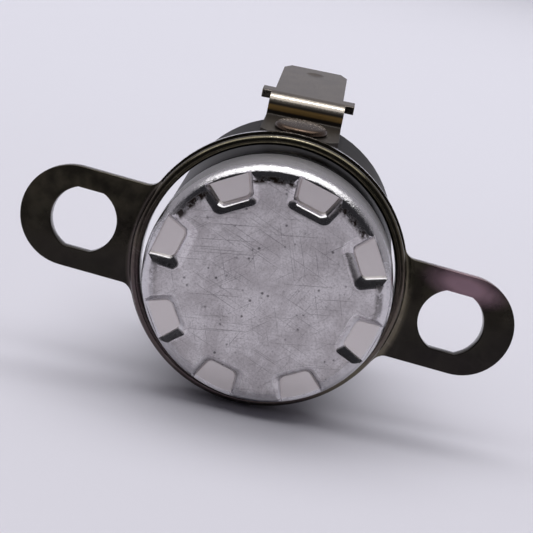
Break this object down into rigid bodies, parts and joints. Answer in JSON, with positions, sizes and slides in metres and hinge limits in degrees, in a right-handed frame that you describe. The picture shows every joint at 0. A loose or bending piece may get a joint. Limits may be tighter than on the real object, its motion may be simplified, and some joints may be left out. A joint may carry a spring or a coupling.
{
  "type": "disc thermostat",
  "caption": "Snap-action disc temperature switch with a dimpled aluminium cap, black moulded body, tab terminals and a loose two-ear mounting bracket.",
  "frame": {"origin": "centre of the flat sensing face", "axes": "-Y out of the sensing face, +Z through the upper terminal, +X to the right seen from the front"},
  "size_m": [0.0321, 0.0235, 0.0192],
  "materials": {
    "aluminium_cap": "drawn, dull, scratched and pitted",
    "bimetal": "rolled",
    "ceramic": "unglazed ceramic",
    "phenolic": "moulded black phenolic, soft gloss",
    "nickel_plate": "bright nickel plate on steel",
    "copper_alloy": "rolled beryllium copper",
    "silver": "headed silver contact",
    "blackened_steel": "blackened steel with a brown and olive sheen"
  },
  "bodies": {
    "switch": {"sensing_cap": "aluminium_cap", "bimetal_disc": "bimetal", "pin_guide": "ceramic", "housing": "phenolic", "contact_spring": "copper_alloy", "fixed_contact_strip": "copper_alloy", "fixed_contact": "silver", "upper_terminal": "nickel_plate", "lower_terminal": "nickel_plate", "upper_terminal_rivet": "nickel_plate", "lower_terminal_rivet": "nickel_plate"},
    "bracket": {"mounting_bracket": "blackened_steel"},
    "pin": {"transfer_pin": "ceramic"},
    "contact": {"moving_contact": "silver"}
  },
  "joints": [
    {"name": "bracket_swivel", "type": "hinge", "parent": "switch", "child": "bracket", "pos_m": [-0.00015, 0.00305, 0.00005], "axis": [-0.0259, 0.9887, -0.1478], "continuous": true},
    {"name": "pin_slide", "type": "slide", "parent": "switch", "child": "pin", "axis": [0, 1, 0], "range_m": [0, 0.00035], "stiffness_N_per_m": 200, "deforming": ["bimetal_disc"]},
    {"name": "contact_lift", "type": "slide", "parent": "switch", "child": "contact", "axis": [0, 1, 0], "range_m": [0, 0.00057], "deforming": ["contact_spring"]}
  ],
  "couplings": [
    {"joint": "contact_lift", "follows": "pin_slide", "ratio": 1.6}
  ]
}
